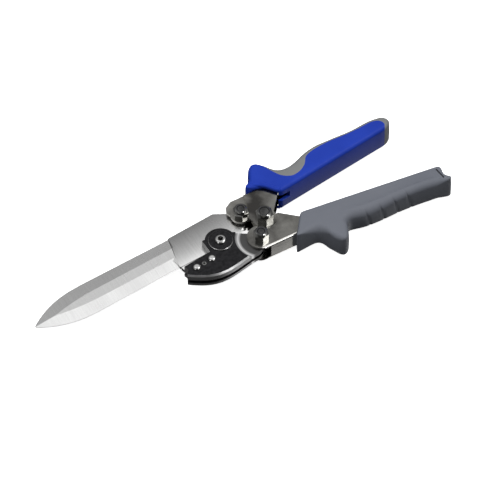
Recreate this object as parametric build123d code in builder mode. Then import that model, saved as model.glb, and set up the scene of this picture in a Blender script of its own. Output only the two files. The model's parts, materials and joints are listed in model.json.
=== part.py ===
"""Compound-action cutter: a long double-edged knife blade works against a short wire-cutting jaw.

Seen from above with the tool lying on its side: +X runs from the blade's tip to the ends of the
handles, +Y to the upper handle, +Z up along every pivot. Millimetres. Every sketch is drawn from
the main pivot, on the blade's middle plane.
"""
import os
from math import cos, pi, radians, sin

from build123d import *

os.makedirs("parts", exist_ok=True)

# ---------------------------------------------------------------- driving dimensions
# place of the main pivot in the part's frame (origin: middle of the footprint, on the surface)
pivot_x = -12.435
pivot_y = -1.37
pivot_z = 12.0

# linkage, along and across the line from the main pivot to the handle pivot
link_tilt = 3.5          # degrees from +X to that line
tail_along = 28.3
tail_across = 14.5
handle_pivot_along = 41.0

# knife blade
blade_tilt = 4.0         # degrees from +X to the blade's own axis
blade_axis_offset = 14.4
blade_reach = 164.4      # main pivot to tip, along the blade's axis
blade_half_width = 15.0
belly_station = 52.0     # distance from the tip to the widest place
blade_half_thickness = 1.5
edge_half_thickness = 0.2
bevel_slope = 0.12
flat_half_width = 4.3
blade_disc_radius = 10.5

# short jaw
plate_inner = 1.7
front_plate_top = 7.2
tail_top = 5.7
back_plate_bottom = 5.2
lobe_radius = 12.5
tail_radius = 7.0
relief_radius = 20.5

# stamped handle channels
sheet = 2.0
flange_outer = 8.0
flange_inner = flange_outer - sheet
ear_outer = 5.8
ear_inner = ear_outer - sheet
lower_ear_radius = 11.2
upper_ear_radius = 9.6
lowered_lobe_radius = 10.5
flange_relief_radius = 10.1
joggle_radius = 12.0

# grips
grip_half_thickness = 12.0
lower_grip_edge_radius = 3.2
upper_grip_edge_radius = 3.0
socket_clearance = 0.05
tang_end_clearance = 0.1

# pivots and fasteners
shaft_clearance = 0.05
open_pivot_clearance = 0.5
main_shaft_radius = 4.0
handle_shaft_radius = 4.0
link_shaft_radius = 3.0
main_nut_flats = 12.7
main_nut_height = 5.2
main_washer_radius = 9.8
main_washer_thickness = 1.1
handle_nut_flats = 12.7
handle_nut_height = 5.6
handle_nut_collar = 3.0
handle_bolt_head_radius = 7.4
handle_sleeve_radius = 6.2
handle_sleeve_half_length = 3.7
link_nut_flats = 11.0
link_nut_height = 5.2
link_nut_collar = 2.6
link_bolt_head_radius = 6.2
link_spacer_radius = 5.6
bolt_head_height = 3.6
bolt_end_below_nut = 0.6


# ---------------------------------------------------------------- places and helpers
def level(height):
    """Plane of the tool's plan view at a height above the blade's middle plane."""
    return Plane(origin=(pivot_x, pivot_y, pivot_z + height))


def blade_level(height):
    """The same, turned so that its X runs along the blade."""
    turned = Plane(
        origin=(pivot_x, pivot_y, pivot_z),
        x_dir=(cos(radians(blade_tilt)), sin(radians(blade_tilt)), 0),
        z_dir=(0, 0, 1),
    )
    return turned.offset(height)


def on_linkage(along, across):
    """Plan point given along and across the linkage line."""
    tilt = radians(link_tilt)
    return (
        along * cos(tilt) - across * sin(tilt),
        along * sin(tilt) + across * cos(tilt),
    )


upper_link = on_linkage(tail_along, tail_across)
lower_link = on_linkage(tail_along, -tail_across)
handle_pivot = on_linkage(handle_pivot_along, 0)


def save(builder, name):
    """Label a finished piece and write it."""
    builder.part.label = name
    export_step(builder.part, f"parts/{name}.step")


def turned_piece(name, centre, bottom, top, radius, bore=0.0, edge=0.0):
    """Round piece such as a washer, spacer or pin, with both rims chamfered."""
    with BuildPart() as piece:
        with BuildSketch(level(bottom)):
            with Locations(centre):
                Circle(radius)
                if bore:
                    Circle(bore, mode=Mode.SUBTRACT)
        extrude(amount=top - bottom)
        if edge:
            full_turn = 2 * pi * radius
            chamfer(piece.edges().filter_by(lambda rim: rim.length > 0.98 * full_turn), edge)
    save(piece, name)


def lock_nut(name, centre, seat, flats, shaft_radius, hex_height, collar_height):
    """Hexagon nut with a round collar, and the separate nylon ring held in the collar."""
    collar_radius = 0.43 * flats
    corner_cone_radius = 0.56 * flats
    ring_radius = collar_radius - 0.7
    ring_depth = 1.8
    top = seat + hex_height + collar_height
    with BuildPart() as nut:
        with BuildSketch(level(seat)):
            with Locations(centre):
                RegularPolygon(flats / 2, 6, major_radius=False, rotation=15)
        extrude(amount=hex_height)
        with BuildSketch(level(seat)):
            with Locations(centre):
                Circle(corner_cone_radius)
        extrude(amount=hex_height, taper=-8, mode=Mode.INTERSECT)
        with BuildSketch(level(seat + hex_height)):
            with Locations(centre):
                Circle(collar_radius)
        extrude(amount=collar_height)
        chamfer(nut.faces().sort_by(Axis.Z)[-1].edges(), 0.5)
        with BuildSketch(level(seat)):
            with Locations(centre):
                Circle(shaft_radius + shaft_clearance)
        extrude(amount=top - seat, mode=Mode.SUBTRACT)
        with BuildSketch(level(top - ring_depth)):
            with Locations(centre):
                Circle(ring_radius)
        extrude(amount=ring_depth, mode=Mode.SUBTRACT)
    save(nut, name)
    turned_piece(
        name + "_nylon_ring",
        centre,
        top - ring_depth,
        top - 0.2,
        ring_radius,
        shaft_radius + shaft_clearance,
    )
    return top


def pivot_screw(name, centre, seat, top, shaft_radius, head_radius):
    """Bolt put in from below: low round head with a hexagon socket, plain shaft, chamfered end."""
    with BuildPart() as screw:
        with BuildSketch(level(-seat - bolt_head_height)):
            with Locations(centre):
                Circle(head_radius)
        extrude(amount=bolt_head_height)
        fillet(screw.edges().sort_by(Axis.Z)[0], 1.6)
        with BuildSketch(level(-seat - bolt_head_height)):
            with Locations(centre):
                RegularPolygon(shaft_radius * 0.62, 6, major_radius=False)
        extrude(amount=bolt_head_height * 0.6, mode=Mode.SUBTRACT)
        with BuildSketch(level(-seat)):
            with Locations(centre):
                Circle(shaft_radius)
        extrude(amount=seat + top)
        chamfer(screw.edges().sort_by(Axis.Z)[-1], 0.5)
    save(screw, name)


# ---------------------------------------------------------------- knife blade
def blade_width(station):
    """Half width of the blade at a distance from its tip."""
    if station < belly_station:
        return blade_half_width * (1 - (1 - station / belly_station) ** 2.35)
    return blade_half_width - (station - belly_station) / 75


def flat_width(station):
    """Half width of the flat between the two ground bevels, which runs out towards the tip."""
    start, full = 20.0, 60.0
    if station <= start:
        return 0.15
    if station >= full:
        return flat_half_width
    return 0.15 + (flat_half_width - 0.15) * (1 - ((full - station) / (full - start)) ** 2)


def blade_section(station):
    """Plane and outline of the blade's ground section at a distance from its tip."""
    width = blade_width(station)
    flat = flat_width(station)
    thickness = min(blade_half_thickness, edge_half_thickness + (width - flat) * bevel_slope)
    upper = [
        (-width, edge_half_thickness),
        (-flat, thickness),
        (flat, thickness),
        (width, edge_half_thickness),
    ]
    lower = [(across, -height) for across, height in reversed(upper)]
    base = blade_level(0)
    centre = base.from_local_coords(Vector(station - blade_reach, blade_axis_offset, 0))
    plane = Plane(origin=centre, x_dir=base.y_dir, z_dir=base.x_dir)
    return plane, upper + lower


def make_knife_blade():
    """Ground blade, flat ricasso, disc round the main pivot and tail to the upper link."""
    ricasso_top = blade_axis_offset + 14.1
    ricasso_bottom = -0.6
    tilt = radians(-blade_tilt)
    tail = (
        upper_link[0] * cos(tilt) - upper_link[1] * sin(tilt),
        upper_link[0] * sin(tilt) + upper_link[1] * cos(tilt),
    )
    with BuildPart() as blade:
        for station in (1.2, 3, 6, 9, 13, 17, 22, 28, 34, 41, belly_station, 62, 75, 134):
            plane, outline = blade_section(station)
            with BuildSketch(plane):
                Polygon(*outline, align=None)
        loft(ruled=True)
        with BuildSketch(blade_level(-blade_half_thickness)):
            with BuildLine():
                Polyline(
                    (-37.5, ricasso_bottom),
                    (-39.0, 8.0),
                    (-33.0, 13.5),
                    (-31.5, 20.0),
                    (-30.5, ricasso_top),
                    (12.0, ricasso_top + 0.8),
                    (16.4, 26.5),
                    (tail[0] - 3.0, tail[1] + tail_radius - 0.7),
                    (tail[0], tail[1]),
                    (tail[0] + 1.5, tail[1] - tail_radius + 0.2),
                    (8.0, -6.0),
                    (0.0, -8.0),
                    (-9.0, ricasso_bottom),
                    (-37.5, ricasso_bottom),
                )
            make_face()
            Circle(blade_disc_radius)
            with Locations(tail):
                Circle(tail_radius)
        extrude(amount=2 * blade_half_thickness)
        with BuildSketch(blade_level(-blade_half_thickness)):
            Circle(main_shaft_radius + shaft_clearance)
            with Locations(tail):
                Circle(link_shaft_radius + open_pivot_clearance)
        extrude(amount=2 * blade_half_thickness, mode=Mode.SUBTRACT)
    save(blade, "knife_blade")


# ---------------------------------------------------------------- short jaw
rivet_places = [(-29.1, -13.8), (-14.6, -12.0)]
pin_place = (-21.8, -12.6)
rivet_radius = 2.0
pin_radius = 1.9


def jaw_outline():
    """Plan outline shared by both jaw plates."""
    with BuildSketch() as outline:
        with BuildLine():
            Polyline(
                (0.0, 7.2),
                (-12.5, 7.2),
                (-12.3, -5.2),
                (-37.0, -8.0),
                (-36.3, -10.0),
                (-35.8, -12.5),
                (-38.0, -14.8),
                (-39.3, -17.0),
            )
            Spline(
                (-39.3, -17.0),
                (-31.0, -22.6),
                (-22.0, -26.8),
                (-13.0, -28.4),
                (0.0, -27.3),
                (22.0, -23.4),
            )
            Polyline(
                (22.0, -23.4),
                (lower_link[0], lower_link[1] - tail_radius),
                (lower_link[0], lower_link[1]),
                (lower_link[0] - 2.4, lower_link[1] + tail_radius - 0.4),
                (11.5, 3.6),
                (0.0, 7.2),
            )
        make_face()
        Circle(lobe_radius)
        with Locations(lower_link):
            Circle(tail_radius)
    return outline.sketch


def jaw_holes():
    """Holes of the main pivot, the lower link, the two rivets and the pin."""
    with BuildSketch() as holes:
        Circle(main_shaft_radius + shaft_clearance)
        with Locations(lower_link):
            Circle(link_shaft_radius + shaft_clearance)
        with Locations(*rivet_places):
            Circle(rivet_radius + shaft_clearance)
        with Locations(pin_place):
            Circle(pin_radius + shaft_clearance)
    return holes.sketch


def make_jaw_plates():
    """Thick front plate with a relieved tail, and the thinner back plate."""
    with BuildPart() as front:
        with BuildSketch(level(plate_inner)):
            add(jaw_outline())
        extrude(amount=front_plate_top - plate_inner)
        top_rim = front.faces().sort_by(Axis.Z)[-1].edges()
        chamfer(top_rim.filter_by(GeomType.BSPLINE), 1.3)
        with BuildSketch(level(tail_top)):
            with Locations(lower_link):
                Circle(relief_radius)
        extrude(amount=front_plate_top, mode=Mode.SUBTRACT)
        with BuildSketch(level(plate_inner)):
            add(jaw_holes())
        extrude(amount=front_plate_top, mode=Mode.SUBTRACT)
    save(front, "jaw_front_plate")

    with BuildPart() as back:
        with BuildSketch(level(-back_plate_bottom)):
            add(jaw_outline())
        extrude(amount=back_plate_bottom - plate_inner)
        bottom_rim = back.faces().sort_by(Axis.Z)[0].edges()
        chamfer(bottom_rim.filter_by(GeomType.BSPLINE), 0.8)
        with BuildSketch(level(-back_plate_bottom)):
            add(jaw_holes())
        extrude(amount=back_plate_bottom, mode=Mode.SUBTRACT)
    save(back, "jaw_back_plate")


def make_cutter_insert():
    """Hardened insert between the plates: its upper edge meets the blade's lower edge."""
    edge_gap = 0.35
    with BuildPart() as insert:
        with BuildSketch(level(-plate_inner)):
            with BuildLine():
                Polyline(
                    (-37.3, -3.6 - edge_gap),
                    (-35.2, -12.6),
                    (-36.4, -14.8),
                    (-30.0, -19.5),
                    (-20.0, -23.0),
                    (-11.5, -23.0),
                    (-9.5, -15.5),
                    (-13.5, -1.9 - edge_gap),
                    (-37.3, -3.6 - edge_gap),
                )
            make_face()
        extrude(amount=2 * plate_inner)
        with BuildSketch(level(-plate_inner)):
            with Locations(*rivet_places):
                Circle(rivet_radius + shaft_clearance)
            with Locations(pin_place):
                Circle(pin_radius + shaft_clearance)
        extrude(amount=2 * plate_inner, mode=Mode.SUBTRACT)
    save(insert, "jaw_cutter_insert")


def make_jaw_rivets():
    """Two rivets with a domed head in front and a flat head behind."""
    head_radius = 3.3
    head_height = 2.1
    back_head_height = 1.2
    with BuildPart() as rivets:
        for place in rivet_places:
            with BuildSketch(level(-back_plate_bottom)):
                with Locations(place):
                    Circle(rivet_radius)
            extrude(amount=back_plate_bottom + front_plate_top)
            with BuildSketch(level(front_plate_top)):
                with Locations(place):
                    Circle(head_radius)
            extrude(amount=head_height)
            fillet(rivets.edges().group_by(Axis.Z)[-1], head_height - 0.2)
            with BuildSketch(level(-back_plate_bottom - back_head_height)):
                with Locations(place):
                    Circle(head_radius)
            extrude(amount=back_head_height)
    save(rivets, "jaw_rivets")


# ---------------------------------------------------------------- handle channels
lower_outer_edge = -24.0
upper_outer_edge = 30.6
lower_tang_end = (150.0, -33.6)
upper_tang_end = (142.0, 39.2)
lower_tang_width = 12.0
upper_tang_width = 11.0
bend_radius = 1.6
shortest_bend = 9.0


def bend_edges(channel, outer_edge, side):
    """Long outer edges of a channel's web, where the sheet bends into the flanges."""
    slack = 0.01
    return [
        edge
        for edge in channel.edges()
        if abs(abs(edge.center().Z - pivot_z) - flange_outer) < slack
        and side * (edge.center().Y - pivot_y - outer_edge) > -slack
        and edge.length > shortest_bend
    ]


def make_lower_channel():
    """Channel of the lower handle: outside the jaw's tail, inside the upper channel at the pivot."""
    with BuildPart() as channel:
        with BuildSketch(level(flange_inner)):
            Polygon(
                (lower_link[0], lower_outer_edge),
                (56.0, lower_outer_edge),
                lower_tang_end,
                (lower_tang_end[0], lower_tang_end[1] + lower_tang_width),
                (66.0, -10.8),
                (58.0, -3.5),
                (52.6, 1.2),
                handle_pivot,
                (lower_link[0] + 1.0, lower_link[1] + lower_ear_radius - 1.7),
                lower_link,
                align=None,
            )
            with Locations(lower_link):
                Circle(lower_ear_radius)
            with Locations(handle_pivot):
                Circle(flange_relief_radius, mode=Mode.SUBTRACT)
        extrude(amount=sheet)
        with BuildSketch(level(ear_inner)):
            with Locations(handle_pivot):
                Circle(lowered_lobe_radius)
        extrude(amount=sheet)
        with BuildSketch(level(ear_inner)):
            with Locations(handle_pivot):
                Circle(joggle_radius)
                Circle(flange_relief_radius, mode=Mode.SUBTRACT)
            Polygon(
                handle_pivot,
                (24.0, -5.4),
                (30.0, -16.0),
                (45.0, -16.0),
                (60.0, 0.4),
                align=None,
                mode=Mode.INTERSECT,
            )
        extrude(amount=flange_outer - ear_inner)
        mirror(about=level(0))
        with BuildSketch(level(-flange_outer)):
            Polygon(
                (32.0, lower_outer_edge),
                (56.0, lower_outer_edge),
                lower_tang_end,
                (lower_tang_end[0], lower_tang_end[1] + sheet),
                (56.0, lower_outer_edge + sheet),
                (32.0, lower_outer_edge + sheet),
                align=None,
            )
        extrude(amount=2 * flange_outer)
        with BuildSketch(level(-flange_outer)):
            with Locations(lower_link):
                Circle(link_shaft_radius + shaft_clearance)
            with Locations(handle_pivot):
                Circle(handle_shaft_radius + shaft_clearance)
        extrude(amount=2 * flange_outer, mode=Mode.SUBTRACT)
        fillet(bend_edges(channel, lower_outer_edge, -1), bend_radius)
    save(channel, "lower_handle_channel")


def make_upper_channel():
    """Channel of the upper handle: its tip is pressed in to hold the blade's tail."""
    ear_tip_radius = 8.2
    step_left = [(29.1, 8.8), (34.0, 13.7), (38.0, upper_outer_edge)]
    step_right = [(30.4, 7.4), (35.6, 12.6), (40.0, upper_outer_edge)]
    with BuildPart() as channel:
        with BuildSketch(level(flange_inner)):
            Polygon(
                *step_right,
                (48.0, upper_outer_edge + 0.4),
                upper_tang_end,
                (upper_tang_end[0], upper_tang_end[1] - upper_tang_width),
                (62.0, 18.0),
                (50.4, 4.5),
                handle_pivot,
                (31.4, 3.8),
                align=None,
            )
            with Locations(handle_pivot):
                Circle(upper_ear_radius)
        extrude(amount=sheet)
        with BuildSketch(level(ear_inner)):
            Polygon(
                (18.2, 22.6),
                (23.2, 9.4),
                upper_link,
                *step_left,
                (26.5, upper_outer_edge),
                (20.5, 27.4),
                align=None,
            )
            with Locations(upper_link):
                Circle(ear_tip_radius)
        extrude(amount=sheet)
        with BuildSketch(level(ear_inner)):
            Polygon(*step_left, *reversed(step_right), align=None)
        extrude(amount=flange_outer - ear_inner)
        mirror(about=level(0))
        with BuildSketch(level(-flange_outer)):
            Polygon(
                (38.0, upper_outer_edge),
                (48.0, upper_outer_edge + 0.4),
                upper_tang_end,
                (upper_tang_end[0], upper_tang_end[1] - sheet),
                (48.0, upper_outer_edge + 0.4 - sheet),
                (38.0, upper_outer_edge - sheet),
                align=None,
            )
        extrude(amount=2 * flange_outer)
        with BuildSketch(level(-ear_outer)):
            Polygon(
                (32.5, upper_outer_edge),
                (39.0, upper_outer_edge),
                (39.0, upper_outer_edge - sheet),
                (32.5, upper_outer_edge - sheet),
                align=None,
            )
        extrude(amount=2 * ear_outer)
        with BuildSketch(level(-flange_outer)):
            with Locations(upper_link):
                Circle(link_shaft_radius + shaft_clearance)
            with Locations(handle_pivot):
                Circle(handle_shaft_radius + shaft_clearance)
        extrude(amount=2 * flange_outer, mode=Mode.SUBTRACT)
        fillet(bend_edges(channel, upper_outer_edge, 1), bend_radius)
    save(channel, "upper_handle_channel")


# ---------------------------------------------------------------- grips
def upper_grip_outline():
    """Plan outline of the upper grip: guard hump in front, finger scallop behind it."""
    with BuildSketch() as outline:
        with BuildLine():
            Line((64.0, 16.2), (158.0, 28.6))
            Spline(
                (158.0, 28.6),
                (169.0, 29.6),
                (174.6, 35.2),
                (171.2, 42.4),
                (160.0, 44.2),
                (142.0, 43.0),
                (125.0, 43.6),
                (110.0, 43.8),
                (98.0, 41.4),
                (88.0, 37.6),
                (80.0, 36.0),
                (73.5, 37.2),
                (69.0, 41.4),
                (65.4, 46.8),
                (61.2, 51.0),
                (56.6, 51.6),
                (52.2, 48.0),
                (48.8, 42.0),
                (43.0, 35.5),
            )
            Polyline((43.0, 35.5), (42.8, 31.2), (54.5, 28.6), (64.0, 16.2))
        make_face()
    return outline.sketch


def lower_grip_outline():
    """Plan outline of the lower grip, with its finger horn and the swell at its end."""
    with BuildSketch() as outline:
        with BuildLine():
            Line((67.0, -8.2), (182.0, -22.3))
            Spline(
                (182.0, -22.3),
                (187.4, -28.2),
                (188.2, -35.4),
                (182.6, -38.8),
                (172.0, -37.4),
                (158.0, -35.8),
                (142.0, -35.0),
                (127.0, -35.6),
                (112.0, -35.0),
                (99.6, -32.2),
                (94.8, -34.6),
                (91.2, -41.6),
                (85.0, -49.0),
                (79.2, -46.6),
                (76.2, -38.0),
                (71.0, -30.0),
                (60.0, -28.4),
            )
            Polyline((60.0, -28.4), (52.4, -27.8), (67.0, -8.2))
        make_face()
    return outline.sketch


def make_lower_grip():
    """Lower grip moulded round the tang, with a slot in its end."""
    slot_left, slot_right = 176.0, 190.0
    slot_bottom, slot_top = -32.5, -27.0
    slot_half_height = 2.5
    with BuildPart() as grip:
        with BuildSketch(level(-grip_half_thickness)):
            add(lower_grip_outline())
        extrude(amount=2 * grip_half_thickness)
        rims = grip.faces().sort_by(Axis.Z)[-1].edges() + grip.faces().sort_by(Axis.Z)[0].edges()
        fillet(rims, lower_grip_edge_radius)
        with BuildSketch(level(-flange_outer - socket_clearance)):
            Polygon(
                (48.0, lower_outer_edge - socket_clearance),
                (56.0, lower_outer_edge - socket_clearance),
                (lower_tang_end[0] + tang_end_clearance, lower_tang_end[1] - 0.06),
                (
                    lower_tang_end[0] + tang_end_clearance,
                    lower_tang_end[1] + lower_tang_width + tang_end_clearance,
                ),
                (66.1, -10.65),
                (58.0, -3.3),
                (48.0, -3.0),
                align=None,
            )
        extrude(amount=2 * (flange_outer + socket_clearance), mode=Mode.SUBTRACT)
        with BuildSketch(level(-slot_half_height)):
            Polygon(
                (slot_left, slot_top),
                (slot_right, slot_top),
                (slot_right, slot_bottom),
                (slot_left, slot_bottom),
                align=None,
            )
        extrude(amount=2 * slot_half_height, mode=Mode.SUBTRACT)
    save(grip, "lower_grip")


def upper_grip_blank():
    """Whole moulded shape of the upper grip, shared by its core and its soft cover."""
    with BuildPart() as blank:
        with BuildSketch(level(-grip_half_thickness)):
            add(upper_grip_outline())
        extrude(amount=2 * grip_half_thickness)
        rims = blank.faces().sort_by(Axis.Z)[-1].edges() + blank.faces().sort_by(Axis.Z)[0].edges()
        fillet(rims, upper_grip_edge_radius)
        with BuildSketch(level(-flange_outer - socket_clearance)):
            Polygon(
                (40.0, upper_outer_edge + socket_clearance),
                (48.0, upper_outer_edge + 0.4 + socket_clearance),
                (upper_tang_end[0] + tang_end_clearance, upper_tang_end[1] + 0.06),
                (
                    upper_tang_end[0] + tang_end_clearance,
                    upper_tang_end[1] - upper_tang_width - tang_end_clearance,
                ),
                (62.0, 17.9),
                (50.0, 4.0),
                align=None,
            )
        extrude(amount=2 * (flange_outer + socket_clearance), mode=Mode.SUBTRACT)
    return blank.part


def overmould_region():
    """Plan region of the soft cover: scallop behind the hump, outer edge and end."""
    with BuildSketch() as outline:
        with BuildLine():
            Spline(
                (60.5, 62.0),
                (64.4, 46.0),
                (67.6, 37.0),
                (72.2, 29.4),
                (79.3, 25.2),
                (87.0, 26.2),
                (93.4, 30.2),
                (98.4, 36.4),
                (107.0, 39.2),
                (121.0, 40.4),
                (136.0, 39.8),
                (149.0, 40.0),
                (159.0, 40.6),
                (165.6, 38.6),
                (168.0, 34.0),
                (165.6, 28.8),
                (163.0, 22.0),
            )
            Polyline((163.0, 22.0), (185.0, 22.0), (185.0, 62.0), (60.5, 62.0))
        make_face()
    return outline.sketch


def make_upper_grip():
    """Hard core of the upper grip, and the soft cover moulded along its outer side."""
    blank = upper_grip_blank()
    with BuildPart() as core:
        add(blank)
        with BuildSketch(level(-grip_half_thickness)):
            add(overmould_region())
        extrude(amount=2 * grip_half_thickness, mode=Mode.SUBTRACT)
    save(core, "upper_grip")

    with BuildPart() as cover:
        add(blank)
        with BuildSketch(level(-grip_half_thickness)):
            add(overmould_region())
        extrude(amount=2 * grip_half_thickness, mode=Mode.INTERSECT)
    save(cover, "upper_grip_soft_cover")


# ---------------------------------------------------------------- pivots
def make_main_pivot():
    """Domed socket bolt, raised washer and nut that clamp the jaw plates round the blade."""
    washer_top = front_plate_top + main_washer_thickness
    head_radius = 4.7
    head_height = 2.2
    socket_half_flats = 2.1
    shaft_bottom = -back_plate_bottom - main_nut_height - bolt_end_below_nut
    turned_piece(
        "main_pivot_washer",
        (0, 0),
        front_plate_top,
        washer_top,
        main_washer_radius,
        main_shaft_radius + 2 * shaft_clearance,
        0.45,
    )
    with BuildPart() as bolt:
        with BuildSketch(level(shaft_bottom)):
            Circle(main_shaft_radius)
        extrude(amount=washer_top - shaft_bottom)
        with BuildSketch(level(washer_top)):
            Circle(head_radius)
        extrude(amount=head_height)
        fillet(bolt.edges().sort_by(Axis.Z)[-1], head_height - 0.3)
        with BuildSketch(level(washer_top)):
            RegularPolygon(socket_half_flats, 6, major_radius=False)
        extrude(amount=head_height, mode=Mode.SUBTRACT)
    save(bolt, "main_pivot_bolt")
    with BuildPart() as nut:
        with BuildSketch(level(-back_plate_bottom - main_nut_height)):
            RegularPolygon(main_nut_flats / 2, 6, major_radius=False, rotation=10)
            Circle(main_shaft_radius + shaft_clearance, mode=Mode.SUBTRACT)
        extrude(amount=main_nut_height)
    save(nut, "main_pivot_nut")


def make_handle_pivot():
    """Bolt, lock nut and inner sleeve where the two handle channels cross."""
    nut_top = lock_nut(
        "handle_pivot_nut",
        handle_pivot,
        flange_outer,
        handle_nut_flats,
        handle_shaft_radius,
        handle_nut_height,
        handle_nut_collar,
    )
    pivot_screw(
        "handle_pivot_bolt",
        handle_pivot,
        flange_outer,
        nut_top - bolt_end_below_nut,
        handle_shaft_radius,
        handle_bolt_head_radius,
    )
    turned_piece(
        "handle_pivot_sleeve",
        handle_pivot,
        -handle_sleeve_half_length,
        handle_sleeve_half_length,
        handle_sleeve_radius,
        handle_shaft_radius + shaft_clearance,
        0.4,
    )


def make_link(name, centre, seat):
    """Bolt and lock nut of one tail."""
    nut_top = lock_nut(
        name + "_nut", centre, seat, link_nut_flats, link_shaft_radius, link_nut_height, link_nut_collar
    )
    pivot_screw(
        name + "_bolt",
        centre,
        seat,
        nut_top - bolt_end_below_nut,
        link_shaft_radius,
        link_bolt_head_radius,
    )


def make_link_spacers():
    """Spacer between the jaw plates at the lower tail, and one on each side of the blade's tail."""
    bore = link_shaft_radius + shaft_clearance
    jaw_gap = plate_inner - 0.05
    turned_piece("lower_link_spacer", lower_link, -jaw_gap, jaw_gap, link_spacer_radius, bore, 0.3)
    with BuildPart() as spacers:
        for bottom in (-ear_inner + 0.05, blade_half_thickness + 0.15):
            with BuildSketch(level(bottom)):
                with Locations(upper_link):
                    Circle(link_spacer_radius)
                    Circle(bore, mode=Mode.SUBTRACT)
            extrude(amount=ear_inner - blade_half_thickness - 0.2)
    save(spacers, "upper_link_spacers")


make_knife_blade()
make_jaw_plates()
make_cutter_insert()
make_jaw_rivets()
turned_piece("jaw_locating_pin", pin_place, -back_plate_bottom, front_plate_top - 0.4, pin_radius, edge=0.3)
make_main_pivot()
make_lower_channel()
make_upper_channel()
make_lower_grip()
make_upper_grip()
make_handle_pivot()
make_link("upper_link", upper_link, ear_outer)
make_link("lower_link", lower_link, flange_outer)
make_link_spacers()
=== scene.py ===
"""Looks of the compound-action knife shear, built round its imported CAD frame. Metres, +Z up."""
import json
import math

import bmesh
import bpy
from mathutils import Matrix, Vector
from mathutils.geometry import delaunay_2d_cdt


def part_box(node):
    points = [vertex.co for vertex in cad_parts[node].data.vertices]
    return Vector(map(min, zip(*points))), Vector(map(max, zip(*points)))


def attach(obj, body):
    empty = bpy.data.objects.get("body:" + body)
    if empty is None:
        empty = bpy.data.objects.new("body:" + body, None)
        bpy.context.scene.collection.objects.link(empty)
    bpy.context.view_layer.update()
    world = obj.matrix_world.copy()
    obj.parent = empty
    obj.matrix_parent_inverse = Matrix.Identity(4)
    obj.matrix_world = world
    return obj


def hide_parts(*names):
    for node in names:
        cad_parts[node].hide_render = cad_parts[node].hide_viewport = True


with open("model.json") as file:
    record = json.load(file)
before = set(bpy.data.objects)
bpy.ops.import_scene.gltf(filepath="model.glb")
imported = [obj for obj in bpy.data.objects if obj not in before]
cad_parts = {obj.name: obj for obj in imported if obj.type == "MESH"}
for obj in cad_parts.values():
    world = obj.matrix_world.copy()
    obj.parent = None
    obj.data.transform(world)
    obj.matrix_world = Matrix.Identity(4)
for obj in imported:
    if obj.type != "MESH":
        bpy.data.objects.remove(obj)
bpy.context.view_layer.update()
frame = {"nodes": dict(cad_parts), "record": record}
MM = 0.001

# plan places below are in millimetres from the main pivot
STEP_PLACE = -37.9  # X of the step between the ricasso and the ground bevel, at the pivot's own Y
STEP_LEAN = 0.219  # how far the step moves along X for each millimetre of Y
STEP_FADE = 0.2
BLADE_TURN = math.radians(4)  # of the blade's length from X
CROWN_MIDDLE = 6.4  # Y of the crest of the ricasso's crown
CROWN_BEND = 5.6  # fall of the crown, in metres for each square metre across it
LOWER_LINK = (29.13, -12.75)
POCKET_RADIUS = 20.6  # bright pocket of the jaw round the lower link bolt
POCKET_FADE = 0.3
PIN_PLACE = (-21.8, -12.6)

# the main pivot's axis, on the blade's middle plane, is where every outline below is drawn from
bolt_low, bolt_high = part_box("main_pivot_bolt")
plate_low, plate_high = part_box("knife_blade")
PIVOT = Vector(
    (
        (bolt_low.x + bolt_high.x) / 2,
        (bolt_low.y + bolt_high.y) / 2,
        (plate_low.z + plate_high.z) / 2,
    )
)


# ---------------------------------------------------------------- camera, floor and light
def make_camera():
    """Very long lens, 52 degrees above the surface, turned so that the blade points down to the left."""
    elevation = math.radians(52)
    turn = math.radians(30)
    distance = 8.0
    seen_width = 0.3745
    right = Vector((math.cos(turn), -math.sin(turn), 0))
    away = Vector((math.sin(turn), math.cos(turn), 0))
    view = away * math.cos(elevation) - Vector((0, 0, 1)) * math.sin(elevation)
    up = right.cross(view)
    aim = PIVOT + right * 15.2 * MM + up * 5.1 * MM
    data = bpy.data.cameras.new("camera")
    data.sensor_width = 36.0
    data.lens = data.sensor_width * distance / seen_width
    camera = bpy.data.objects.new("camera", data)
    camera.matrix_world = Matrix.Translation(aim - view * distance) @ Matrix(
        (right, up, -view)
    ).transposed().to_4x4()
    bpy.context.scene.collection.objects.link(camera)
    bpy.context.scene.camera = camera


def make_area_light(name, location, size, power):
    """Soft square light aimed at the main pivot."""
    data = bpy.data.lights.new(name, "AREA")
    data.size = size
    data.energy = power
    light = bpy.data.objects.new(name, data)
    light.location = location
    light.rotation_euler = (PIVOT - Vector(location)).to_track_quat("-Z", "Y").to_euler()
    bpy.context.scene.collection.objects.link(light)
    return light


def make_floor():
    """White floor that lights nothing and that the metal doesn't mirror."""
    mesh = bpy.data.meshes.new("floor")
    half = 6.0
    level = -0.0004
    corners = [(-half, -half, level), (half, -half, level), (half, half, level), (-half, half, level)]
    mesh.from_pydata(corners, [], [(0, 1, 2, 3)])
    floor = bpy.data.objects.new("floor", mesh)
    bpy.context.scene.collection.objects.link(floor)
    material = bpy.data.materials.new("floor_white")
    material.use_nodes = True
    shader = material.node_tree.nodes["Principled BSDF"]
    shader.inputs["Base Color"].default_value = (0.93, 0.93, 0.93, 1)
    shader.inputs["Roughness"].default_value = 0.9
    shader.inputs["Emission Color"].default_value = (1, 1, 1, 1)
    shader.inputs["Emission Strength"].default_value = 0.9
    mesh.materials.append(material)
    floor.visible_glossy = False
    floor.visible_diffuse = False


def fill_ramp(ramp, stops):
    """Set a new colour ramp's stops from (position, colour) pairs in rising order."""
    ramp.elements[0].position = stops[0][0]
    ramp.elements[1].position = stops[-1][0]
    for position, _ in stops[1:-1]:
        ramp.elements.new(position)
    for element, (position, colour) in zip(ramp.elements, stops):
        element.position = position
        element.color = colour


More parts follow.
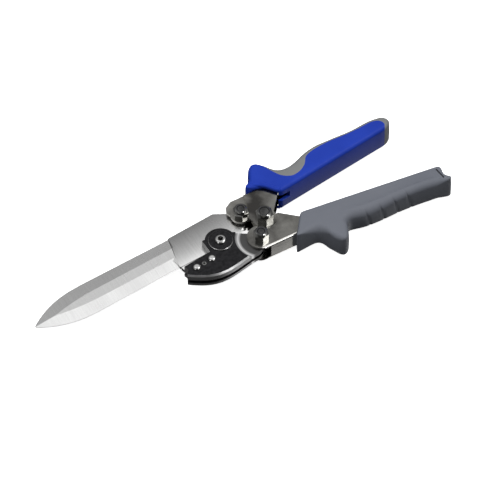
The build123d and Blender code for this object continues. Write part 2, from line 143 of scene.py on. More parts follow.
def make_sky():
    """Sky that is brightest high up but not overhead, with a glow for the upright sides."""
    world = bpy.data.worlds.new("studio")
    bpy.context.scene.world = world
    world.use_nodes = True
    nodes = world.node_tree.nodes
    links = world.node_tree.links

    # brightness over the upward part of a direction
    direction = nodes.new("ShaderNodeTexCoord")
    split = nodes.new("ShaderNodeSeparateXYZ")
    ramp = nodes.new("ShaderNodeValToRGB")
    heights = [
        (0.0, 0.06),
        (0.12, 0.12),
        (0.50, 0.26),
        (0.68, 0.46),
        (0.80, 0.70),
        (0.90, 1.5),
        (0.95, 0.95),
        (1.0, 0.45),
    ]
    fill_ramp(ramp.color_ramp, [(height, (value, value, value * 1.01, 1)) for height, value in heights])
    links.new(direction.outputs["Generated"], split.inputs[0])
    links.new(split.outputs["Z"], ramp.inputs["Fac"])

    # the floor isn't mirrored, so a glow under its level on the right shows in the upright sides
    panel = nodes.new("ShaderNodeVectorMath")
    panel.operation = "DOT_PRODUCT"
    panel.inputs[1].default_value = Vector((0.58, -0.21, -0.79)).normalized()
    links.new(direction.outputs["Generated"], panel.inputs[0])
    glow = nodes.new("ShaderNodeMapRange")
    glow.interpolation_type = "SMOOTHSTEP"
    glow.inputs["From Min"].default_value = 0.90
    glow.inputs["From Max"].default_value = 0.97
    glow.inputs["To Max"].default_value = 1.2
    links.new(panel.outputs["Value"], glow.inputs["Value"])

    # the sky is dimmer behind the camera
    behind = nodes.new("ShaderNodeVectorMath")
    behind.operation = "DOT_PRODUCT"
    behind.inputs[1].default_value = (-0.5, -0.866, 0.0)
    links.new(direction.outputs["Generated"], behind.inputs[0])
    shade = nodes.new("ShaderNodeMapRange")
    shade.interpolation_type = "SMOOTHSTEP"
    shade.inputs["From Min"].default_value = 0.05
    shade.inputs["From Max"].default_value = 0.45
    shade.inputs["To Min"].default_value = 1.0
    shade.inputs["To Max"].default_value = 0.25
    links.new(behind.outputs["Value"], shade.inputs["Value"])
    dim = nodes.new("ShaderNodeMixRGB")
    dim.blend_type = "MULTIPLY"
    dim.inputs["Fac"].default_value = 1.0
    links.new(ramp.outputs["Color"], dim.inputs["Color1"])
    links.new(shade.outputs["Result"], dim.inputs["Color2"])
    mix = nodes.new("ShaderNodeMixRGB")
    mix.blend_type = "ADD"
    mix.inputs["Fac"].default_value = 1.0
    links.new(dim.outputs["Color"], mix.inputs["Color1"])
    links.new(glow.outputs["Result"], mix.inputs["Color2"])
    links.new(mix.outputs["Color"], nodes["Background"].inputs["Color"])
    nodes["Background"].inputs["Strength"].default_value = 1.0


def make_lights():
    """Four soft lights; the key isn't mirrored, so that the blade keeps its grey from above."""
    key = make_area_light("key_light", (-0.35, -0.1, 1.8), size=0.5, power=15)
    key.visible_glossy = False
    make_area_light("side_light", (-1.5, -0.4, 0.6), size=0.4, power=3)
    make_area_light("right_light", (1.1, -0.4, 1.5), size=0.5, power=7)
    make_area_light("front_light", (0.6, -1.35, 0.95), size=0.45, power=3)


# ---------------------------------------------------------------- materials
def new_material(name):
    """Empty node material: (material, nodes, links, principled shader)."""
    material = bpy.data.materials.new(name)
    material.use_nodes = True
    tree = material.node_tree
    return material, tree.nodes, tree.links, tree.nodes["Principled BSDF"]


def stretched_noise(nodes, links, scale, stretch, turn=0.0, detail=6.0):
    """Noise in object space, squeezed by stretch along X, Y, Z after a turn about Z."""
    coordinates = nodes.new("ShaderNodeTexCoord")
    mapping = nodes.new("ShaderNodeMapping")
    mapping.inputs["Rotation"].default_value = (0, 0, turn)
    mapping.inputs["Scale"].default_value = stretch
    noise = nodes.new("ShaderNodeTexNoise")
    noise.inputs["Scale"].default_value = scale
    noise.inputs["Detail"].default_value = detail
    links.new(coordinates.outputs["Object"], mapping.inputs["Vector"])
    links.new(mapping.outputs["Vector"], noise.inputs["Vector"])
    return noise.outputs["Fac"]


def ramp_between(nodes, links, value, low, high):
    """Colour ramp from low to high over the range that noise mostly keeps to."""
    ramp = nodes.new("ShaderNodeValToRGB")
    fill_ramp(ramp.color_ramp, [(0.35, (*low, 1)), (0.65, (*high, 1))])
    links.new(value, ramp.inputs["Fac"])
    return ramp.outputs["Color"]


def map_value(nodes, links, value, low, high, start=0.3, end=0.7):
    """A value carried from start..end to low..high."""
    node = nodes.new("ShaderNodeMapRange")
    node.inputs["From Min"].default_value = start
    node.inputs["From Max"].default_value = end
    node.inputs["To Min"].default_value = low
    node.inputs["To Max"].default_value = high
    links.new(value, node.inputs["Value"])
    return node.outputs["Result"]


def add_bump(nodes, links, shader, height, distance, strength=1.0):
    """Bump from a height in metres."""
    bump = nodes.new("ShaderNodeBump")
    bump.inputs["Distance"].default_value = distance
    bump.inputs["Strength"].default_value = strength
    links.new(height, bump.inputs["Height"])
    links.new(bump.outputs["Normal"], shader.inputs["Normal"])


def from_pivot(nodes, links):
    """Object-space X, Y, Z in metres from the main pivot."""
    coordinates = nodes.new("ShaderNodeTexCoord")
    shift = nodes.new("ShaderNodeVectorMath")
    shift.operation = "SUBTRACT"
    shift.inputs[1].default_value = PIVOT
    split = nodes.new("ShaderNodeSeparateXYZ")
    links.new(coordinates.outputs["Object"], shift.inputs[0])
    links.new(shift.outputs["Vector"], split.inputs[0])
    return split.outputs


def calculate(nodes, links, operation, one, two):
    """One arithmetic node; each side is a socket or a number."""
    node = nodes.new("ShaderNodeMath")
    node.operation = operation
    for socket, value in zip(node.inputs, (one, two)):
        if isinstance(value, (int, float)):
            socket.default_value = value
        else:
            links.new(value, socket)
    return node.outputs[0]


def distance_from(nodes, links, axes, x, y):
    """Plan distance from a point given in millimetres from the main pivot."""
    across = calculate(nodes, links, "SUBTRACT", axes["X"], x * MM)
    along = calculate(nodes, links, "SUBTRACT", axes["Y"], y * MM)
    squares = [calculate(nodes, links, "MULTIPLY", side, side) for side in (across, along)]
    total = calculate(nodes, links, "ADD", *squares)
    return calculate(nodes, links, "SQRT", total, 0.0)


def make_ground_steel():
    """Blade steel: fine grinding lines across the blade, and a slight crown over the ricasso."""
    material, nodes, links, shader = new_material("ground_steel")
    shader.inputs["Metallic"].default_value = 1.0
    lines = stretched_noise(nodes, links, 60.0, (60, 0.8, 1), -BLADE_TURN)
    clouds = stretched_noise(nodes, links, 30.0, (1, 1, 1))
    tint = ramp_between(nodes, links, lines, (0.70, 0.70, 0.69), (0.77, 0.77, 0.76))
    links.new(tint, shader.inputs["Base Color"])
    links.new(map_value(nodes, links, clouds, 0.20, 0.30), shader.inputs["Roughness"])
    axes = from_pivot(nodes, links)
    lean = calculate(nodes, links, "MULTIPLY", axes["Y"], STEP_LEAN)
    along = calculate(nodes, links, "SUBTRACT", axes["X"], lean)
    fade = [(STEP_PLACE - STEP_FADE) * MM, (STEP_PLACE + STEP_FADE) * MM]
    inside = map_value(nodes, links, along, 0.0, 1.0, *fade)
    slope = calculate(nodes, links, "MULTIPLY", axes["X"], math.tan(BLADE_TURN))
    across = calculate(nodes, links, "SUBTRACT", axes["Y"], slope)
    across = calculate(nodes, links, "SUBTRACT", across, CROWN_MIDDLE * MM)
    bowl = calculate(nodes, links, "MULTIPLY", across, across)
    bowl = calculate(nodes, links, "MULTIPLY", bowl, -CROWN_BEND)
    bowl = calculate(nodes, links, "MULTIPLY", bowl, inside)
    line_depth = 0.000012
    height = calculate(nodes, links, "MULTIPLY", lines, line_depth)
    height = calculate(nodes, links, "ADD", height, bowl)
    add_bump(nodes, links, shader, height, 1.0)
    return material


def facing_up(nodes, links):
    """1 on faces that look up or down, 0 on upright ones."""
    geometry = nodes.new("ShaderNodeNewGeometry")
    split = nodes.new("ShaderNodeSeparateXYZ")
    links.new(geometry.outputs["True Normal"], split.inputs[0])
    return calculate(nodes, links, "ABSOLUTE", split.outputs["Z"], 0.0)


def make_plated_steel():
    """Nickel-plated stamping: painted shade on its flat faces, and painted highlights on the bends and
    cut edges.
    """
    material, nodes, links, shader = new_material("plated_steel")
    shader.inputs["Metallic"].default_value = 1.0
    clouds = stretched_noise(nodes, links, 45.0, (1, 1, 1))
    waves = stretched_noise(nodes, links, 45.0, (1, 1, 1), detail=0.0)
    marks = stretched_noise(nodes, links, 260.0, (0.25, 1, 1), math.radians(20))
    # painted shade: the flat faces get a dark tint in place of the dark reflection they would show
    painted_shade_flats = ramp_between(nodes, links, clouds, (0.06, 0.058, 0.054), (0.29, 0.285, 0.265))
    # painted highlight: the bends and cut edges get a near-white tint
    painted_highlight_bends = ramp_between(nodes, links, clouds, (0.78, 0.765, 0.72), (0.88, 0.865, 0.82))
    mix = nodes.new("ShaderNodeMixRGB")
    # mask: flat faces take the painted shade, all other faces the painted highlight
    level = facing_up(nodes, links)
    links.new(map_value(nodes, links, level, 0.0, 1.0, 0.985, 0.995), mix.inputs["Fac"])
    links.new(painted_highlight_bends, mix.inputs["Color1"])
    links.new(painted_shade_flats, mix.inputs["Color2"])
    links.new(mix.outputs["Color"], shader.inputs["Base Color"])
    links.new(map_value(nodes, links, marks, 0.16, 0.20), shader.inputs["Roughness"])
    add_bump(nodes, links, shader, waves, 0.0006, 0.25)
    return material


def make_fastener_metal(name, low, high, top_low, top_high, roughness):
    """Plating of nuts, bolts and rivets: the end faces take their own tint, which is painted shade
    wherever it is darker than the sides.
    """
    material, nodes, links, shader = new_material(name)
    shader.inputs["Metallic"].default_value = 1.0
    clouds = stretched_noise(nodes, links, 180.0, (1, 1, 1))
    sides = ramp_between(nodes, links, clouds, low, high)
    # painted shade: the end faces' tint, darker than the sides for every fastener except the rivets
    ends = ramp_between(nodes, links, clouds, top_low, top_high)
    mix = nodes.new("ShaderNodeMixRGB")
    level = facing_up(nodes, links)
    links.new(map_value(nodes, links, level, 0.0, 1.0, 0.93, 0.97), mix.inputs["Fac"])
    links.new(sides, mix.inputs["Color1"])
    links.new(ends, mix.inputs["Color2"])
    links.new(mix.outputs["Color"], shader.inputs["Base Color"])
    links.new(
        map_value(nodes, links, clouds, roughness - 0.02, roughness + 0.02), shader.inputs["Roughness"]
    )
    return material


def paint_hole_shade(material, x, y, inner, outer):
    """Painted shade of a hole: near black round a plan point out to inner, the metal itself past outer;
    millimetres.
    """
    tree = material.node_tree
    shader = tree.nodes["Principled BSDF"]
    metal = shader.inputs["Base Color"].links[0].from_socket
    axes = from_pivot(tree.nodes, tree.links)
    radius = distance_from(tree.nodes, tree.links, axes, x, y)
    mix = tree.nodes.new("ShaderNodeMixRGB")
    # colour of the painted shade in the hole
    mix.inputs["Color1"].default_value = (0.012, 0.012, 0.013, 1)
    share = map_value(tree.nodes, tree.links, radius, 0.0, 1.0, inner * MM, outer * MM)
    tree.links.new(share, mix.inputs["Fac"])
    tree.links.new(metal, mix.inputs["Color2"])
    tree.links.new(mix.outputs["Color"], shader.inputs["Base Color"])


def make_socket_bolt():
    """Bright domed head with a socket whose shade is painted near black, and its end face tinted darker
    than the sides as painted shade.
    """
    material = make_fastener_metal(
        "socket_bolt",
        (0.55, 0.55, 0.54),
        (0.75, 0.75, 0.74),
        (0.40, 0.40, 0.39),
        (0.55, 0.55, 0.54),
        roughness=0.16,
    )
    paint_hole_shade(material, 0.0, 0.0, inner=2.0, outer=2.25)
    return material


def make_pin_end():
    """Locating pin: a bright rim round a centre hole whose shade is painted near black, and its end face
    tinted darker than the sides as painted shade.
    """
    material = make_fastener_metal(
        "pin_end",
        (0.55, 0.55, 0.54),
        (0.75, 0.75, 0.74),
        (0.22, 0.22, 0.215),
        (0.34, 0.34, 0.33),
        roughness=0.2,
    )
    paint_hole_shade(material, *PIN_PLACE, inner=0.75, outer=1.05)
    return material


def make_black_oxide():
    """Blackened faces; the chamfers and the pocket are ground bright and the cut sides half bare, with
    rings of painted highlight and painted shade over the pocket.
    """
    material, nodes, links, shader = new_material("black_oxide")
    grain = stretched_noise(nodes, links, 400.0, (1, 1, 1), detail=8.0)
    dark = ramp_between(nodes, links, grain, (0.008, 0.008, 0.009), (0.020, 0.020, 0.022))
    bare = nodes.new("ShaderNodeValToRGB")
    bare.color_ramp.interpolation = "CONSTANT"
    cut_sides, chamfers, blackened = (0.55, 0.55, 0.55, 1), (1, 1, 1, 1), (0, 0, 0, 1)
    fill_ramp(bare.color_ramp, [(0.0, cut_sides), (0.4, chamfers), (0.93, blackened)])
    links.new(facing_up(nodes, links), bare.inputs["Fac"])
    axes = from_pivot(nodes, links)
    radius = distance_from(nodes, links, axes, *LOWER_LINK)
    fade_start = (POCKET_RADIUS - POCKET_FADE) * MM
    pocket = map_value(nodes, links, radius, 1.0, 0.0, fade_start, POCKET_RADIUS * MM)
    bright = calculate(nodes, links, "MAXIMUM", bare.outputs["Color"], pocket)

    # painted highlight and painted shade of the pocket's curved step wall, as rings over the share of
    # its radius
    bare_metal_and_painted_light = nodes.new("ShaderNodeValToRGB")
    painted_light_tones = [(0.78, 0.10), (0.83, 0.42), (0.88, 0.80), (0.935, 0.42), (0.985, 0.22), (1.0, 0.62)]
    fill_ramp(bare_metal_and_painted_light.color_ramp, [(share, (value, value, value, 1)) for share, value in painted_light_tones])
    reach = calculate(nodes, links, "DIVIDE", radius, POCKET_RADIUS * MM)
    links.new(reach, bare_metal_and_painted_light.inputs["Fac"])
    mix = nodes.new("ShaderNodeMixRGB")
    links.new(bright, mix.inputs["Fac"])
    links.new(dark, mix.inputs["Color1"])
    links.new(bare_metal_and_painted_light.outputs["Color"], mix.inputs["Color2"])
    links.new(mix.outputs["Color"], shader.inputs["Base Color"])
    links.new(map_value(nodes, links, bright, 0.35, 1.0, 0, 1), shader.inputs["Metallic"])
    links.new(map_value(nodes, links, grain, 0.30, 0.42), shader.inputs["Roughness"])
    shader.inputs["Specular IOR Level"].default_value = 0.2
    add_bump(nodes, links, shader, grain, 0.00005, 0.4)
    return material


def make_moulding(name, low, high, roughness, specular=0.22):
    """Moulded plastic or soft elastomer: spark-eroded grain and slightly uneven colour."""
    material, nodes, links, shader = new_material(name)
    clouds = stretched_noise(nodes, links, 25.0, (1, 1, 1))
    grain = stretched_noise(nodes, links, 900.0, (1, 1, 1), detail=3.0)
    links.new(ramp_between(nodes, links, clouds, low, high), shader.inputs["Base Color"])
    links.new(
        map_value(nodes, links, grain, roughness - 0.05, roughness + 0.06), shader.inputs["Roughness"]
    )
    shader.inputs["Specular IOR Level"].default_value = specular
    add_bump(nodes, links, shader, grain, 0.00006, 0.5)
    return material


MATERIALS = {
    "ground_steel": make_ground_steel(),
    "plated_steel": make_plated_steel(),
    # nuts: bright plated sides, with the end faces tinted near black as painted shade
    "bright_fasteners": make_fastener_metal(
        "bright_plating",
        (0.50, 0.50, 0.49),
        (0.72, 0.72, 0.70),
        (0.07, 0.07, 0.068),
        (0.15, 0.15, 0.145),
        roughness=0.12,
    ),
    "black_oxide": make_black_oxide(),
    "nylon_rings": make_moulding("nylon_ring", (0.03, 0.03, 0.033), (0.055, 0.055, 0.058), 0.45),
    "blue_moulding": make_moulding(
        "blue_plastic", (0.014, 0.040, 0.34), (0.018, 0.050, 0.40), 0.34, specular=0.09
    ),
    "grey_moulding": make_moulding("slate_grip", (0.135, 0.145, 0.17), (0.15, 0.16, 0.185), 0.5),
    "soft_grey_cover": make_moulding("soft_grey", (0.185, 0.19, 0.19), (0.215, 0.22, 0.22), 0.6),
}


# ---------------------------------------------------------------- mesh helpers
SHARP_ANGLE = math.radians(32)  # edges that turn less than this are shaded smooth
LEAST_MITRE = 0.7  # keeps a sharp corner's mitre short
FITTED_SHARE = 0.68  # of the largest circle that fits inside an outline, for a rim's radius
PARTING_RISE = 0.25  # height of the parting line round a moulding's middle, in millimetres


def smooth_path(points, spacing):
    """Catmull-Rom curve through plan points, sampled about every spacing millimetres."""
    padded = [points[0], *points, points[-1]]
    path = []
    for before, start, end, after in zip(padded, padded[1:], padded[2:], padded[3:]):
        steps = max(2, round(math.dist(start, end) / spacing))
        for step in range(steps):
            t = step / steps
            path.append(
                tuple(
                    0.5
                    * (
                        2 * q
                        + (r - p) * t
                        + (2 * p - 5 * q + 4 * r - w) * t * t
                        + (3 * q - p - 3 * r + w) * t**3
                    )
                    for p, q, r, w in zip(before, start, end, after)
                )
            )
    return path


def straight_path(points, spacing):
    """Polyline sampled about every spacing millimetres, without its last point."""
    path = []
    for start, end in zip(points, points[1:]):
        steps = max(1, round(math.dist(start, end) / spacing))
        path += [tuple(p + (q - p) * step / steps for p, q in zip(start, end)) for step in range(steps)]
    return path


def new_piece(name, shell):
    """Object from a bmesh drawn in millimetres from the main pivot."""
    bmesh.ops.recalc_face_normals(shell, faces=shell.faces)
    mesh = bpy.data.meshes.new(name)
    shell.to_mesh(mesh)
    shell.free()
    piece = bpy.data.objects.new(name, mesh)
    bpy.context.scene.collection.objects.link(piece)
    return piece


def settle(piece):
    """Bring a piece from millimetres to its place in metres, smooth except at steep edges."""
    shell = bmesh.new()
    shell.from_mesh(piece.data)
    for face in shell.faces:
        face.smooth = True
    for edge in shell.edges:
        edge.smooth = len(edge.link_faces) == 2 and edge.calc_face_angle(0.0) < SHARP_ANGLE
    shell.transform(Matrix.Translation(PIVOT) @ Matrix.Scale(MM, 4))
    shell.to_mesh(piece.data)
    shell.free()


def prism(name, outline, low, high):
    """Upright block over a plan outline, between two heights from the mid-plane."""
    shell = bmesh.new()
    rings = [[shell.verts.new((x, y, z)) for x, y in outline] for z in (low, high)]
    shell.faces.new(list(reversed(rings[0])))
    shell.faces.new(rings[1])
    count = len(outline)
    for i in range(count):
        j = (i + 1) % count
        shell.faces.new((rings[0][i], rings[0][j], rings[1][j], rings[1][i]))
    return new_piece(name, shell)


def bake(piece):
    """Apply a piece's modifiers."""
    graph = bpy.context.evaluated_depsgraph_get()
    mesh = bpy.data.meshes.new_from_object(piece.evaluated_get(graph))
    piece.modifiers.clear()
    piece.data = mesh


def carve(piece, cutter, operation="DIFFERENCE"):
    """Boolean of a piece with a cutter, which is then removed."""
    modifier = piece.modifiers.new("cut", "BOOLEAN")
    modifier.operation = operation
    modifier.solver = "EXACT"
    modifier.object = cutter
    bake(piece)
    bpy.data.objects.remove(cutter)


def ease(value, start, end):
    """Smooth step from 0 at start to 1 at end."""
    t = min(1.0, max(0.0, (value - start) / (end - start)))
    return t * t * (3 - 2 * t)


def softened(outline, passes):
    """A closed plan outline with its corners rounded by repeated averaging."""
    for _ in range(passes):
        before = outline[-1:] + outline[:-1]
        after = outline[1:] + outline[:1]
        outline = [
            tuple((p + 2 * q + r) / 4 for p, q, r in zip(*points))
            for points in zip(before, outline, after)
        ]
    return outline


def inward_normals(outline):
    """Unit inward normals of a closed plan outline that runs anticlockwise, with mitred corners."""
    normals = []
    count = len(outline)
    for i in range(count):
        before = Vector(outline[i - 1])
        here = Vector(outline[i])
        after = Vector(outline[(i + 1) % count])
        one = (here - before).normalized()
        two = (after - here).normalized()
        first = Vector((-one.y, one.x))
        second = Vector((-two.y, two.x))
        normal = (first + second).normalized()
        normals.append(normal / max(LEAST_MITRE, normal.dot(first)))
    return normals


def fitted(outline, normals, radii, share):
    """The radii, kept within a share of the largest circle that touches the outline from inside."""
    points = [Vector(point) for point in outline]
    limited = []
    for here, normal, radius in zip(points, normals, radii):
        for there in points:
            gap = there - here
            ahead = gap.dot(normal)
            if ahead > 1e-6:
                radius = min(radius, share * gap.length_squared / (2 * ahead))
        limited.append(radius)
    for _ in range(24):
        before = limited[-1:] + limited[:-1]
        after = limited[1:] + limited[:1]
        limited = [min(q, (p + q + r) / 3) for p, q, r in zip(before, limited, after)]
    return limited


def rounded_shell(name, outline, half, rim_radius, face_drop, dent):
    """Moulding over a plan outline: upright side, rounded rims, and flat faces a little below the rims.

    rim_radius(normal, x, y), face_drop(normal, x, y) and dent(normal, x, y, z) give millimetres.
    """
    normals = inward_normals(outline)
    radii = [rim_radius(n, *p) for n, p in zip(normals, outline)]
    radii = fitted(outline, normals, radii, FITTED_SHARE)
    drops = [face_drop(n, *p) for n, p in zip(normals, outline)]
    full_drop = max(drops)
    profile = []
    rim_steps = 9
    for step in range(rim_steps + 1):
        turn = math.pi / 2 * step / rim_steps
        profile.append((1 - math.cos(turn), math.sin(turn), 0.0))
    profile.append((1.12, 1.0, 0.5))
    profile.append((1.25, 1.0, 1.0))
    shell = bmesh.new()
    rings = []
    for side in (-1, 1):
        stack = []
        for inset, rise, drop in profile:
            ring = []
            for point, normal, radius, own_drop in zip(outline, normals, radii, drops):
                rim = half - full_drop + own_drop
                z = side * (rim - radius + radius * rise - own_drop * drop)
                depth = radius * inset + dent(normal, *point, z) * (1 - rise * rise)
                x, y = Vector(point) + normal * depth
                ring.append(shell.verts.new((x, y, z)))
            stack.append(ring)
        rings = list(reversed(stack)) + rings if side < 0 else rings + stack
    middle = []
    for point, normal in zip(outline, normals):
        x, y = Vector(point) + normal * (dent(normal, *point, 0.0) - PARTING_RISE)
        middle.append(shell.verts.new((x, y, 0.0)))
    rings.insert(len(profile), middle)
    count = len(outline)
    for low, high in zip(rings, rings[1:]):
        for i in range(count):
            j = (i + 1) % count
            shell.faces.new((low[i], low[j], high[j], high[i]))
    for ring in (rings[0], rings[-1]):
        flat = [vertex.co.xy for vertex in ring]
        _, _, triangles, sources, _, _ = delaunay_2d_cdt(flat, [], [list(range(count))], 1, 1e-5)
        for corners in triangles:
            shell.faces.new([ring[sources[corner][0]] for corner in corners])
    return new_piece(name, shell)


# ---------------------------------------------------------------- grips
GRIP_HALF = 12.0  # half the thickness of both grips
SOCKET_HALF = 8.2  # half the thickness of the space for a handle channel inside a grip
OUTLINE_SPACING = 0.6
SOFTENING = 16  # averaging passes over a grip's outline
PAST_FACE = GRIP_HALF + 2.0
GROOVE_DEPTH = 0.75
GROOVE_WIDTH = 0.75
GROOVE_SLANT = 0.22
COLLAR_LEVEL = 10.4  # height of the collar's middle line over and under the mid-plane
COLLAR_RADIUS = 1.9


def make_lower_grip_mesh():
    """Slate grip: broad flat faces, deeply rounded finger side with four grooves, cleft end."""
    outline = straight_path([(67.0, -8.2), (182.0, -22.3)], OUTLINE_SPACING)
    outline += smooth_path(
        [
            (182.0, -22.3),
            (184.8, -23.8),
            (184.6, -27.4),
            (183.6, -31.0),
            (185.0, -34.6),
            (187.6, -36.6),
            (186.2, -38.9),
            (180.6, -38.5),
            (172.0, -37.4),
            (158.0, -35.8),
            (142.0, -35.0),
            (127.0, -35.6),
            (112.0, -35.0),
            (99.6, -32.2),
            (94.8, -34.6),
            (91.4, -41.4),
            (88.6, -47.0),
            (84.6, -49.3),
            (80.6, -47.4),
            (77.6, -41.6),
            (75.0, -35.0),
            (70.4, -30.2),
            (60.0, -28.4),
        ],
        OUTLINE_SPACING,
    )
    outline += straight_path([(60.0, -28.4), (52.4, -27.8), (67.0, -8.2)], OUTLINE_SPACING)
    outline.reverse()
    outline = softened(outline, SOFTENING)
    grooves = [113.5, 126.2, 138.8, 150.5]

    def rim_radius(normal, x, y):
        finger_side = ease(normal.y, 0.2, 0.9) * ease(x, 53, 60) * (1 - ease(x, 176, 184))
        horn = ease(-y, 36, 44) * (1 - ease(x, 96, 100))
        return 2.2 + (5.6 - 1.4 * horn) * finger_side + 2.2 * horn * (1 - finger_side)

    def face_drop(normal, x, y):
        return 0.7 * ease(x, 96, 104) * (1 - ease(x, 168, 178)) * ease(normal.y, 0.5, 0.9)

    def dent(normal, x, y, z):
        if normal.y < 0.6:
            return 0.0
        offsets = [(x - groove + GROOVE_SLANT * z) / GROOVE_WIDTH for groove in grooves]
        return sum(GROOVE_DEPTH * math.exp(-(offset**2)) for offset in offsets)

    grip = rounded_shell("lower_grip_moulding", outline, GRIP_HALF, rim_radius, face_drop, dent)
    socket = [
        (48.0, -24.2),
        (56.0, -24.2),
        (100.0, -28.6),
        (100.0, -16.4),
        (66.1, -10.65),
        (58.0, -3.3),
        (48.0, -3.0),
    ]
    carve(grip, prism("socket_cutter", socket, -SOCKET_HALF, SOCKET_HALF))
    cleft = [(179.6, -25.4), (180.8, -25.4), (182.0, -35.6), (180.8, -35.6)]
    carve(grip, prism("cleft_cutter", cleft, 2.5, PAST_FACE))
    settle(grip)
    dress(grip, "grey_moulding")
    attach(grip, "lower_handle")
    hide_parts("lower_grip")


def upper_grip_plan():
    """Plan outline of the upper grip, anticlockwise."""
    outline = straight_path([(64.0, 16.2), (158.0, 28.6)], OUTLINE_SPACING)
    outline += smooth_path(
        [
            (158.0, 28.6),
            (168.4, 30.4),
            (173.6, 35.4),
            (170.8, 41.8),
            (160.0, 44.2),
            (142.0, 43.0),
            (125.0, 43.6),
            (110.0, 43.8),
            (98.0, 41.4),
            (88.0, 37.6),
            (80.0, 36.0),
            (73.5, 37.2),
            (69.0, 41.4),
            (65.4, 46.8),
            (61.2, 51.0),
            (56.6, 51.6),
            (52.4, 48.2),
            (49.8, 43.0),
            (47.2, 37.8),
            (43.0, 35.5),
        ],
        OUTLINE_SPACING,
    )
    outline += straight_path([(43.0, 35.5), (42.8, 31.2), (54.5, 28.6), (64.0, 16.2)], OUTLINE_SPACING)
    return softened(outline, SOFTENING)


def cover_plan():
    """Plan region of the soft cover: scallop behind the hump, outer edge and end."""
    outline = smooth_path(
        [
            (60.5, 62.0),
            (64.4, 46.0),
            (67.6, 37.0),
            (72.2, 29.4),
            (79.3, 25.2),
            (87.0, 26.2),
            (93.4, 30.2),
            (98.4, 36.4),
            (107.0, 39.2),
            (121.0, 40.4),
            (136.0, 39.8),
            (149.0, 40.0),
            (159.0, 40.6),
            (165.6, 38.6),
            (168.0, 34.0),
            (165.6, 28.8),
            (163.0, 22.0),
        ],
        1.2,
    )
    return outline + [(163.0, 22.0), (185.0, 22.0), (185.0, 62.0)]


def add_bead(piece, path, radius):
    """Lay a round bead with closed ends along a path on a piece, in millimetres from the main pivot."""
    curve = bpy.data.curves.new("bead", "CURVE")
    curve.dimensions = "3D"
    curve.bevel_depth = radius
    curve.bevel_resolution = 6
    curve.use_fill_caps = True
    spline = curve.splines.new("POLY")
    spline.points.add(len(path) - 1)
    for point, spot in zip(spline.points, path):
        point.co = (*spot, 1.0)
    holder = bpy.data.objects.new("bead", curve)
    bpy.context.scene.collection.objects.link(holder)
    graph = bpy.context.evaluated_depsgraph_get()
    mesh = bpy.data.meshes.new_from_object(holder.evaluated_get(graph))
    bpy.data.objects.remove(holder)
    shell = bmesh.new()
    shell.from_mesh(piece.data)
    shell.from_mesh(mesh)
    shell.to_mesh(piece.data)
    shell.free()


def collar_path():
    """Collar round the mouth of the upper grip: over one face, down the outer side, over the other."""
    mouth = smooth_path(
        [
            (43.8, 33.6),
            (47.4, 33.2),
            (51.0, 31.8),
            (55.0, 29.4),
            (58.6, 25.4),
            (61.8, 21.0),
            (64.4, 18.4),
        ],
        0.8,
    )
    mouth.append((64.4, 18.4))
    steps = 8
    side = [COLLAR_LEVEL - 2 * COLLAR_LEVEL * step / steps for step in range(1, steps)]
    path = [(x, y, COLLAR_LEVEL) for x, y in reversed(mouth)]
    path += [(*mouth[0], level) for level in side]
    return path + [(x, y, -COLLAR_LEVEL) for x, y in mouth]


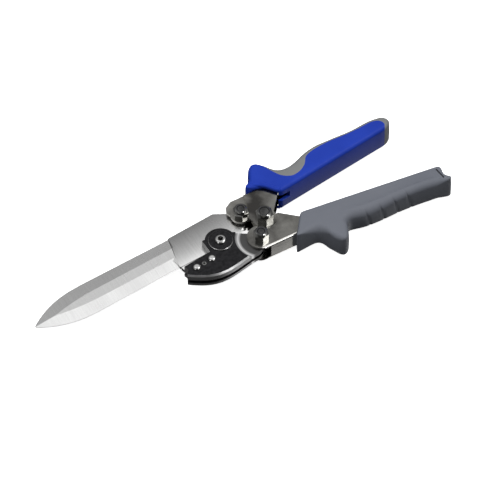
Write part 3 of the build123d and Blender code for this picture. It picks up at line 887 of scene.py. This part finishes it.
def make_upper_grip_meshes():
    """Blue core with its collar, and the soft grey cover let into its outer side."""

    def rim_radius(normal, x, y):
        finger_side = ease(-normal.y, 0.1, 0.8) * ease(x, 44, 54)
        return 3.2 + 1.6 * finger_side

    def face_drop(normal, x, y):
        return 0.0

    def dent(normal, x, y, z):
        return 0.0

    socket = [(40.0, 30.8), (48.0, 31.2), (90.0, 34.6), (90.0, 23.6), (62.0, 17.9), (50.0, 4.0)]
    plan = upper_grip_plan()
    core = rounded_shell("upper_grip_moulding", plan, GRIP_HALF, rim_radius, face_drop, dent)
    carve(core, prism("socket_cutter", socket, -SOCKET_HALF, SOCKET_HALF))
    cover = bpy.data.objects.new("upper_grip_soft_skin", core.data.copy())
    bpy.context.scene.collection.objects.link(cover)
    region = cover_plan()
    carve(core, prism("cover_cutter", region, -PAST_FACE, PAST_FACE))
    carve(cover, prism("cover_keeper", region, -PAST_FACE, PAST_FACE), "INTERSECT")

    # opening in the finger side, by the mouth
    window = [(61.0, 12.0), (70.0, 15.0), (73.0, 17.6), (70.0, 21.0), (61.0, 21.0)]
    carve(core, prism("window_cutter", window, -1.0, 5.4))
    add_bead(core, collar_path(), COLLAR_RADIUS)
    for piece, node, slot in (
        (core, "upper_grip", "blue_moulding"),
        (cover, "upper_grip_soft_cover", "soft_grey_cover"),
    ):
        settle(piece)
        dress(piece, slot)
        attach(piece, "upper_handle")
        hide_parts(node)


# ---------------------------------------------------------------- dressing
# bolt ends: rougher plating, with the end faces tinted near black as painted shade
DULL_END_PAINTED_SHADE = make_fastener_metal(
    "dull_bolt_end_painted_shade",
    (0.40, 0.40, 0.39),
    (0.55, 0.55, 0.54),
    (0.055, 0.055, 0.055),
    (0.11, 0.11, 0.11),
    roughness=0.24,
)
RIVET_STEEL = make_fastener_metal(
    "rivet_steel",
    (0.60, 0.60, 0.59),
    (0.78, 0.78, 0.77),
    (0.60, 0.60, 0.59),
    (0.78, 0.78, 0.77),
    roughness=0.16,
)
NODE_MATERIALS = {
    "main_pivot_bolt": make_socket_bolt(),
    "handle_pivot_bolt": DULL_END_PAINTED_SHADE,
    "upper_link_bolt": DULL_END_PAINTED_SHADE,
    "lower_link_bolt": DULL_END_PAINTED_SHADE,
    "jaw_rivets": RIVET_STEEL,
    "jaw_locating_pin": make_pin_end(),
}


def dress(piece, slot):
    """Give a piece its slot's material."""
    piece.data.materials.clear()
    piece.data.materials.append(MATERIALS[slot])


def dress_cad_nodes():
    """Every CAD node gets its slot's material, and some fasteners one of their own."""
    for row in frame["record"]["subparts"]:
        node = frame["nodes"][row["node"]]
        dress(node, row["material_slot"])
        if row["node"] in NODE_MATERIALS:
            node.data.materials[0] = NODE_MATERIALS[row["node"]]


make_camera()
make_floor()
make_sky()
make_lights()
bpy.context.scene.view_settings.view_transform = "Standard"
dress_cad_nodes()
make_lower_grip_mesh()
make_upper_grip_meshes()
